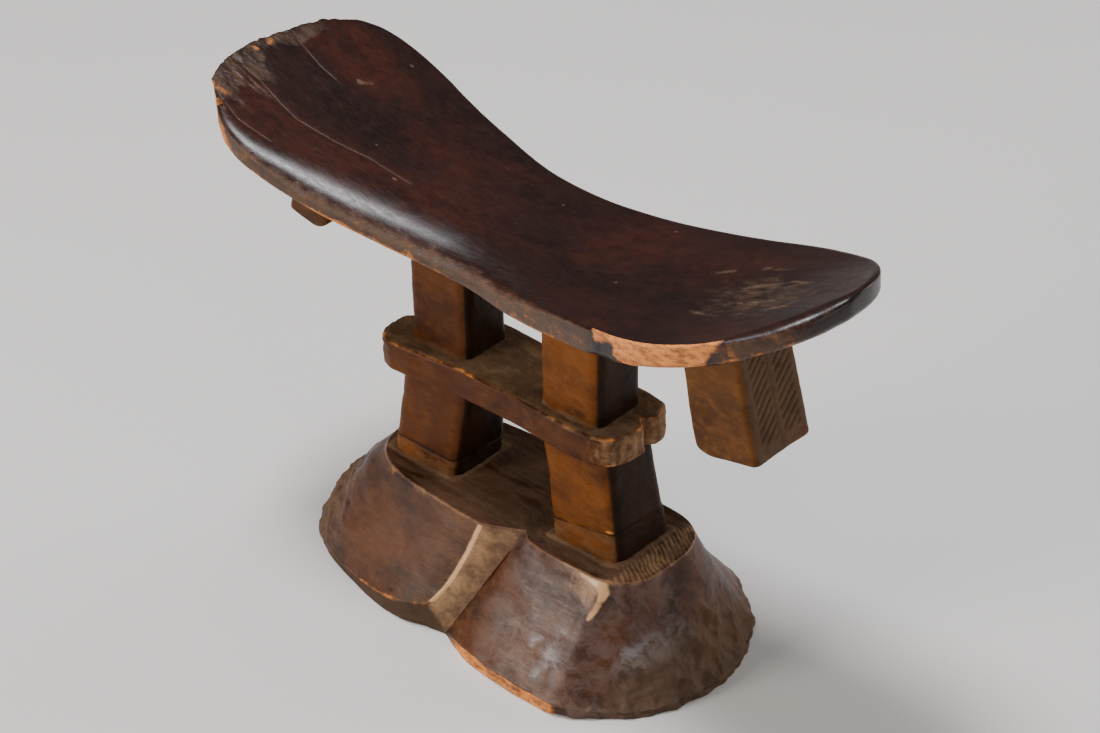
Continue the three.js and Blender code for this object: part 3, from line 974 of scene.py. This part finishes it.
# Ribs of the base's front, as (ground x, ground y, platform x, platform y, band, power), x from the stand's
# middle. The side rises upright through the band and then draws in, faster at first where power is low.
CREASE = (-2.7, -28.7, 11.2, -13.3, 0.4, 1.0)
RIDGE = (-8.5, -29.9, 0.8, -18.5, 7.2, 0.62)
RIGHT_RIBS = [
    CREASE,
    (2, -31, 13.6, -15.3, 2.5, 0.9),
    (8, -33.1, 18, -16.3, 3.5, 0.8),
    (17, -34.4, 23, -16.5, 3.6, 0.78),
    (28, -35, 29.2, -16.4, 3.6, 0.78),
    (38.5, -34.2, 35.8, -16.0, 3.2, 0.78),
    (45, -30.2, 40.2, -14.6, 2.4, 0.76),
    (52, -24.6, 43.6, -12, 2, 0.74),
    (58.6, -14.4, 46, -7, 2, 0.72),
    (61.6, 0, 46.6, 0, 2, 0.72),
]
LEFT_RIBS = [
    (-66.4, 0, -42.8, 0, 0.8, 1.3),
    (-64.4, -9.7, -42, -5.6, 0.8, 1.35),
    (-58.4, -18.6, -39.6, -10.4, 0.8, 1.35),
    (-49.3, -24.7, -34.4, -14.2, 1.2, 1.2),
    (-38.2, -28.5, -27, -16.4, 2.2, 1.0),
    (-26, -31.2, -16, -17.6, 3.8, 0.9),
    (-15.5, -31.9, -6.5, -18.3, 5.6, 0.78),
    RIDGE,
]
# Where the right lobe's front corner is worn pale, with a painted highlight on it, as x from the stand's
# middle and height.
WORN_CORNER = [(33, 30.2), (37.6, 29.6), (39.4, 27.4), (38.8, 24.6), (37.7, 21.4)]
# Columns of points on each lobe, and on the cut face between the lobes, at the front and at the back.
LOBE_COLUMNS = 340
FACET_COLUMNS = 26


def mirrored(ribs):
    return [(gx, -gy, px, -py, band, power) for gx, gy, px, py, band, power in reversed(ribs)]


def base_columns():
    """A rib for each column of points, counterclockwise from the front crease: the right lobe, the cut face
    at the back, the left lobe and the cut face at the front."""
    right = resample(catmull(RIGHT_RIBS + mirrored(RIGHT_RIBS)[1:], False), LOBE_COLUMNS, False)
    left = resample(catmull(mirrored(LEFT_RIBS)[:-1] + LEFT_RIBS, False), LOBE_COLUMNS, False)
    t = np.linspace(0, 1, FACET_COLUMNS + 2)[1:-1, None]
    back = (1 - t) * right[-1] + t * left[0]
    front = (1 - t) * left[-1] + t * right[0]
    return np.vstack([right, back, left, front])


def base_side(columns, z):
    """The base's outline at height z."""
    ground, platform, band, power = columns[:, :2], columns[:, 2:4], columns[:, 4], columns[:, 5]
    t = np.clip((z - band) / (PLATFORM_TOP - band), 0, 1) ** power
    plan = ground + (platform - ground) * t[:, None]
    return np.c_[plan + [STAND_X, 0], np.full(len(plan), z)]


EDGE_ROUND = 0.5
# The seam between platform and lobes, and its ring on the base's side.
SEAM_Z = PLATFORM_BOTTOM
SEAM_RING = 75


def worn_corner(p, sx, z, front):
    """Where the right lobe's front corner is worn pale, with a painted highlight on it."""
    from_worn = np.abs(to_line(np.stack([sx, z], -1), WORN_CORNER))
    width = 0.8 + 0.13 * np.clip(z - 20, 0, 10)
    line = step(from_worn / width, 1, 0.2) * front * (0.80 + 0.45 * layered(p, 2.5, 98))
    return highest(line, 0.40 * step(sx, 24, 34) * step(sx, 40, 37) * step(z, 19, 28) * front)


def flank_zones(p, columns):
    """Where the base's side has its cut faces (facet), its upright band, its rough ends and so on, from 0 to
    1. It also holds x from the stand's middle, z and the band's height."""
    x, y, z = np.moveaxis(p, 2, 0)
    sx = x - STAND_X
    band = columns[:, 4]
    facet = np.zeros(len(columns))
    facet[LOBE_COLUMNS : LOBE_COLUMNS + FACET_COLUMNS] = 1
    facet[-FACET_COLUMNS:] = 1
    front = step(y, 0, -4)
    right_rough = step(sx + 3 * noise(p, 8, 81), 43, 51) * step(z, 22, 12)
    left_rough = step(sx + 3 * noise(p, 8, 82), -42, -54) * step(z, 27, 14)
    return SimpleNamespace(
        sx=sx, z=z, band=band, facet=facet, front=front, right_rough=right_rough, left_rough=left_rough,
        in_band=step(z, band + 0.5, band - 0.5) * step(band, 0.6, 1.6),
        rough=highest(right_rough, left_rough, 0.6 * step(z, 8, 3) * step(sx, 40, 46)),
        chip=step(np.hypot(sx - 39.5, z / 1.2), 3.2, 1.2) * front,
        worn=worn_corner(p, sx, z, front),
    )


def flank_relief(p, zone):
    """How far the carving raises the base's side: broad scoops, short rough ones at the ends, a ridge at the
    right lobe's front corner, a sunken band and a chip. It fades towards the ground and the top edge."""
    z = zone.z
    smooth = 1 - 0.75 * zone.facet
    lift = 0.26 * layered(p, (15, 13, 11), 83) * smooth + 0.05 * layered(p, 3.4, 84)
    lift = lift + 0.85 * (scoops(p, (16, 12, 10), 90) - 0.4) * smooth
    short_cuts = 1.5 * scoops(p, (6.6, 4.8, 4.8), 85) + 0.40 * layered(p, (3, 2.2, 2.2), 94) - 0.8
    lift = lift + zone.rough * short_cuts
    from_ridge = np.abs(zone.sx - (38.6 - 0.1 * (27 - z)))
    lift = lift + 0.5 * step(from_ridge, 5, 0) * step(z, 1, 8) * zone.front - 0.25 * zone.in_band
    lift = lift - 0.9 * zone.chip
    edge = np.clip(np.minimum(z + 0.8, PLATFORM_TOP - z) / 1.5, 0, 1)
    return lift * (0.35 + 0.65 * edge)


def flank_wear(p, zone):
    """Where raw wood shows on the base's side: the band under the right lobe, the lip over it under the left
    one, and the left lobe's top edge."""
    sx, z, band = zone.sx, zone.z, zone.band
    left_top = step(PLATFORM_TOP - z, 5.5, 1) * step(sx, -8, -18) * step(sx, -44, -36) * zone.front
    band_lip = step(np.abs(z - band), 0.9, 0.15) * step(band, 1.0, 2.2) * step(sx, 2, -4)
    orange = zone.in_band * step(sx, -4, 2) * step(sx, 40, 36) * zone.front
    patchy = 0.75 + 0.5 * layered(p, (6, 6, 4), 88)
    bitten = 0.88 + 0.4 * layered(p, (3, 3, 1.5), 97)
    return highest(0.85 * orange * bitten, 0.58 * band_lip * patchy, 0.50 * left_top * patchy)


def flank_scuffs_and_sheen(p, zone):
    """Grey rubbed patches and a painted grey sheen on the front of the right lobe."""
    sx, z = zone.sx, zone.z
    broken_up = step(layered(p, (7, 7, 14), 86), -0.4, 0.5)
    large = broken_up * step(np.hypot((sx - 25) / 13, (z - 11) / 13), 1.1, 0.4)
    small = 0.9 * step(np.hypot((sx - 50) / 6, (z - 13) / 6), 1.1, 0.2)
    return highest(large, small, 0.18 * step(sx, 6, 16)) * zone.front


def columns_from(marked, count):
    """How many columns it is from each column to the nearest marked one."""
    return np.minimum.reduce([np.abs(np.arange(count) - at) for at in marked])


def flank_masks(p, zone):
    """The masks of the base's side. p holds its points after the relief."""
    sx, z, band, front, in_band = zone.sx, zone.z, zone.band, zone.front, zone.in_band
    count = len(band)
    from_ridge = columns_from((LOBE_COLUMNS + FACET_COLUMNS - 1, count - FACET_COLUMNS - 1), count)
    ridge = step(from_ridge, 2.9, 0.2) * step(z, band, band + 1.5)
    beside = step(from_ridge, FACET_COLUMNS, 0) * zone.facet * (1 - in_band)
    from_valley = columns_from((count - 0.5 * FACET_COLUMNS,), count)
    near_valley = step(from_valley, 3 * FACET_COLUMNS, 0.8 * FACET_COLUMNS)
    khaki = highest(zone.facet * np.ones_like(z), in_band * step(sx, 0, -4))
    right_front = step(sx, 8, 20) * step(sx, 42, 36) * front
    return {
        "wear": flank_wear(p, zone),
        "dust": highest(
            0.70 * khaki, 0.62 * zone.rough, 0.24 * front, 0.16 + 0 * z, 0.4 * near_valley * front,
        ),
        "red": step(layered(p, (18, 18, 14), 89), -0.2, 0.6) * (1 - zone.rough) * step(z, 8, 24),
        "scuff_and_sheen": flank_scuffs_and_sheen(p, zone),
        # Pale wear and painted highlights on the ridge, the worn corner and the top edge; paler cut faces
        # and right lobe front.
        "pale_wear_and_highlight": highest(
            (0.7 + 0.8 * front) * ridge, 1.3 * zone.worn, 0.30 * step(PLATFORM_TOP - z, 1.8, 0.3),
            0.30 * khaki * (1 - in_band) + 0.20 * beside, 0.16 * right_front,
        ),
        # Painted shade on the rough right end, in the chip and in the band under the left lobe; the rough
        # left end is a little darker.
        "painted_shade_and_dark_tone": highest(
            0.30 * zone.right_rough, 0.1 * zone.left_rough, 0.5 * zone.chip, 0.5 * in_band * step(sx, 0, -6),
        ),
    }


def base_flank():
    """The whole side of the base, with the carving marks on it, and its masks."""
    columns = base_columns()
    low = np.linspace(0, SEAM_Z, SEAM_RING + 1)
    high = np.linspace(SEAM_Z, PLATFORM_TOP - EDGE_ROUND, 18)[1:]
    blank = np.array([base_side(columns, z) for z in [*low, *high]])
    zone = flank_zones(blank, columns)
    p = blank + surface_normals(blank) * flank_relief(blank, zone)[..., None]
    p[..., 2] = np.maximum(p[..., 2], 0)
    p[0, :, 2] = 0
    return p, {name: np.broadcast_to(m, zone.z.shape) for name, m in flank_masks(p, zone).items()}


def plateau(flank):
    """Rings from the top of the base's side over the edge and across the platform's top."""
    edge = flank[-1]
    normal = np.c_[outward(edge[:, :2]), np.zeros(len(edge))]
    rings = []
    for a in np.linspace(0, pi / 2, 5)[1:]:
        rings.append(edge - normal * EDGE_ROUND * (1 - cos(a)) + [0, 0, EDGE_ROUND * sin(a)])
    middle = np.array([STAND_X + 5, 0, PLATFORM_TOP])
    rings += cap(rings[-1], middle, 90, True)
    p = np.array(rings)
    gap = post_ring(p[..., :2], LOWER_FEET)
    sx = p[..., 0] - STAND_X
    inner = np.clip(np.arange(len(p))[:, None] / 8, 0, 1)
    rise = 1.1 * step(gap, 7, 0) * step(np.abs(sx), 34, 40) + 0.4 * step(gap, 1.4, 0)
    strokes = np.sin(p[..., 1] * 4.6 + 2.2 * sx + 2.6 * noise(p, 3, 91))
    hatch = step(sx, 39, 41) * 0.09 * strokes * step(noise(p, (3, 4, 4), 99), -0.6, 0.2)
    rough = 0.14 * layered(p, (7, 3, 3), 92) + 0.05 * layered(p, 1.6, 93)
    p[..., 2] += inner * (rise + hatch + rough)
    rim = step(np.arange(len(p))[:, None], 5, 2) + 0 * gap
    bare = step(layered(p, (12, 4, 4), 96), 0.0, 0.7)
    margin = step(sx, 38, 41)
    masks = {
        "wear": 0.22 * margin,
        "dust": highest(0.60 - 0.35 * bare, 0.92 * step(gap, 2.4, 0.3), 0.70 * margin) * (1 - 0.8 * rim),
        "red": 0.5 * rim,
        "scuff_and_sheen": 0 * gap,
        # A painted highlight along the front edge; pale hatching on the right margin and pale wear round the
        # post feet.
        "pale_wear_and_highlight": highest(0.40 * rim, (0.36 + 0.12 * strokes) * margin, 0.24 * step(gap, 2.4, 0.3)),
        # Painted shadow of the saddle on the platform's top, clear of the rim, the right margin and the post
        # feet.
        "painted_shade_and_dark_tone": 0.36 * (1 - margin) * (1 - rim) * step(gap, 0.5, 5),
    }
    return p, masks


# Rings that close the faces at the seam and at the ground, and columns on the wall between the lobes.
SEAM_CAP_RINGS = 8
GROUND_CAP_RINGS = 14
WALL_COLUMNS = 40


def stack_masks(parts, count):
    """Joins the masks of stretches of rings, each given as its masks and how many rings it has."""
    return {
        name: np.concatenate([np.broadcast_to(masks[name], (rings, count)) for masks, rings in parts])
        for name in parts[0][0]
    }


def add_platform(flank, masks):
    """The base above the seam: its side, the platform's top and a plain face underneath."""
    count = flank.shape[1]
    top, top_masks = plateau(flank)
    under = cap(flank[SEAM_RING], np.array([STAND_X + 5, 0, SEAM_Z]), SEAM_CAP_RINGS, False)
    side = flank[SEAM_RING:]
    upper_masks = {name: m[SEAM_RING:] for name, m in masks.items()}
    plain = {name: 0.0 for name in masks}
    parts = [(plain, SEAM_CAP_RINGS), (upper_masks, len(side)), (top_masks, len(top))]
    make_piece(
        "platform_carving", np.concatenate([under, side, top]), stack_masks(parts, count), BASE_WOOD,
        "base_platform", sharp=(SEAM_CAP_RINGS,),
    )


def add_lobe(word, flank, masks, columns):
    """The base under the seam, on one side of the valley, with a flat wall where the two lobes meet."""
    side = flank[: SEAM_RING + 1, columns]
    t = np.linspace(0, 1, WALL_COLUMNS + 2)[None, 1:-1, None]
    wall = side[:, -1:] * (1 - t) + side[:, :1] * t
    body = np.concatenate([side, wall], 1)
    ground = cap(body[0], body[0].mean(0), GROUND_CAP_RINGS, False)
    ceiling = cap(body[-1], body[-1].mean(0), SEAM_CAP_RINGS, True)
    bare = np.zeros((SEAM_RING + 1, WALL_COLUMNS))
    body_masks = {name: np.concatenate([m[: SEAM_RING + 1, columns], bare], 1) for name, m in masks.items()}
    plain = {name: 0.0 for name in masks}
    parts = [(plain, GROUND_CAP_RINGS), (body_masks, SEAM_RING + 1), (plain, SEAM_CAP_RINGS)]
    make_piece(
        f"lobe_carving_{word}", np.concatenate([ground, body, ceiling]), stack_masks(parts, body.shape[1]),
        BASE_WOOD, f"base_lobe_{word}", sharp=(GROUND_CAP_RINGS, GROUND_CAP_RINGS + SEAM_RING),
    )


def add_base():
    flank, masks = base_flank()
    add_platform(flank, masks)
    add_lobe("left", flank, masks, np.r_[np.arange(LOBE_COLUMNS - 1, flank.shape[1]), 0])
    add_lobe("right", flank, masks, np.arange(LOBE_COLUMNS))


# ---- assembly ----

SADDLE_WOOD = wood("saddle_wood", (0.005, 0.002, 0.0018), (0.017, 0.0058, 0.0044), 0.32, 0.008, 0.38, True)
POST_WOOD = wood("post_wood", (0.045, 0.012, 0.001), (0.195, 0.056, 0.004), 0.5, 0.04, 0.12)
SLAB_WOOD = wood("slab_wood", (0.034, 0.009, 0.002), (0.120, 0.033, 0.003), 0.45, 0.04, 0.14)
BASE_WOOD = wood("base_wood", (0.027, 0.008, 0.003), (0.110, 0.035, 0.010), 0.42, 0.025, 0.27)
LUG_WOOD = wood("lug_wood", (0.060, 0.020, 0.003), (0.18, 0.064, 0.010), 0.5, 0.04, 0.15)

add_saddle()
for post_side, word in ((-1, "left"), (1, "right")):
    add_upper_post(post_side, f"upper_post_carving_{word}", f"upper_post_{word}")
    add_lower_post(post_side, f"lower_post_carving_{word}", f"lower_post_{word}")
add_slab()
add_base()
add_lug(-1, "lug_carving_left", "end_lug_left", 64, 84.5, 13.5, 16)
add_lug(1, "lug_carving_right", "end_lug_right", 56.8, 75.1, 18.2, 19.8)
